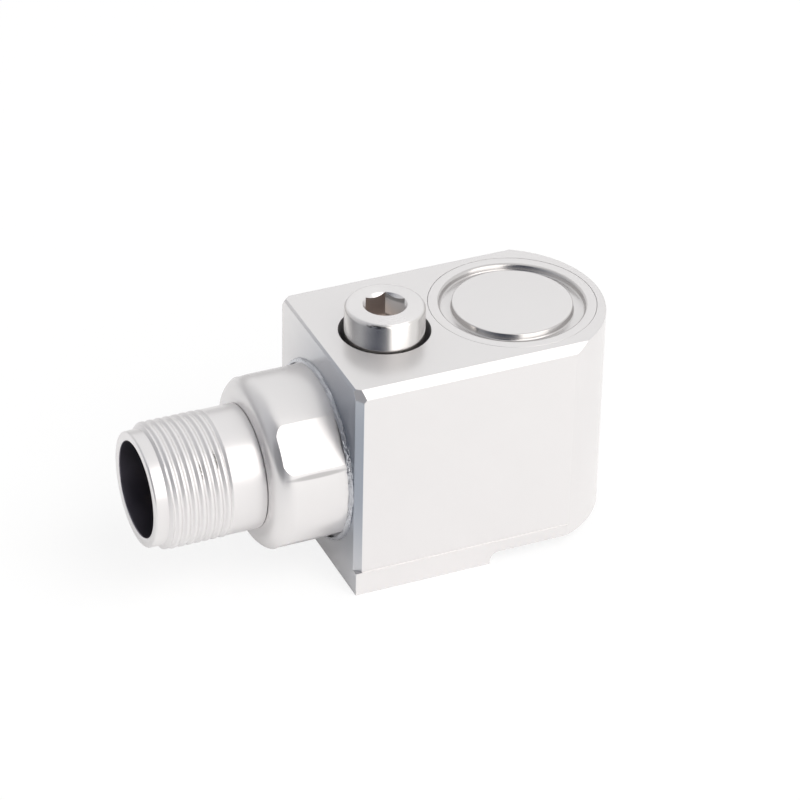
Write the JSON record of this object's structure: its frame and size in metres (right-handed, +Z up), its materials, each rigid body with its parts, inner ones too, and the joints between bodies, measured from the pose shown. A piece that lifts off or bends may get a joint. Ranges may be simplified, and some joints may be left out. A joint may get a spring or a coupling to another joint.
{
  "type": "vibration sensor",
  "caption": "Side-exit vibration sensor: D-shaped steel body with a round welded cap, a captive mounting screw and a threaded pin connector.",
  "frame": {"origin": "on the axis of the mounting screw, in the plane of the foot", "axes": "+Z up out of the foot along the mounting screw, connector pointing along -X, the long front face looking along -Y"},
  "size_m": [0.0611, 0.0252, 0.0329],
  "materials": {
    "milled_steel": "fine milled and bead blasted stainless steel",
    "turned_steel": "bright turned stainless steel",
    "polished_steel": "polished stainless steel",
    "weld_metal": "weld bead",
    "gold_plate": "gold plated contact",
    "sealing_glass": "dark sealing glass",
    "rubber": "black rubber",
    "ceramic": "fired ceramic",
    "tungsten": "sintered heavy metal",
    "nickel_silver": "drawn sheet",
    "board": "green circuit board",
    "black_resin": "moulded resin",
    "tan_resin": "moulded resin",
    "white_sleeve": "wire sleeve",
    "blue_sleeve": "wire sleeve",
    "black_sleeve": "wire sleeve"
  },
  "bodies": {
    "housing": {"housing_block": "milled_steel", "sensing_cap": "milled_steel", "connector_collar": "turned_steel", "collar_weld_bead": "weld_metal", "connector_shell": "turned_steel", "connector_header": "sealing_glass", "contact_pin_1": "gold_plate", "contact_pin_2": "gold_plate", "contact_pin_3": "gold_plate", "insulating_disc": "ceramic", "element_base": "turned_steel", "piezo_ring": "ceramic", "seismic_mass": "tungsten", "clamp_nut": "turned_steel", "element_shield": "nickel_silver", "amplifier_board": "board", "amplifier_chip": "black_resin", "coupling_capacitor": "tan_resin", "bias_resistor": "ceramic", "temperature_sensor": "black_resin", "board_retaining_ring": "turned_steel", "signal_lead": "white_sleeve", "temperature_lead": "blue_sleeve", "ground_lead": "black_sleeve", "element_lead": "white_sleeve"},
    "captive_ring": {"screw_o_ring": "rubber"},
    "mounting_screw": {"mounting_screw": "polished_steel"}
  },
  "joints": [
    {"name": "screw_slide", "type": "slide", "parent": "housing", "child": "captive_ring", "axis": [0, 0, 1], "range_m": [-0.006, 0.008]},
    {"name": "screw_turn", "type": "hinge", "parent": "captive_ring", "child": "mounting_screw", "pos_m": [0, 0, 0], "axis": [0, 0, 1], "continuous": true}
  ]
}
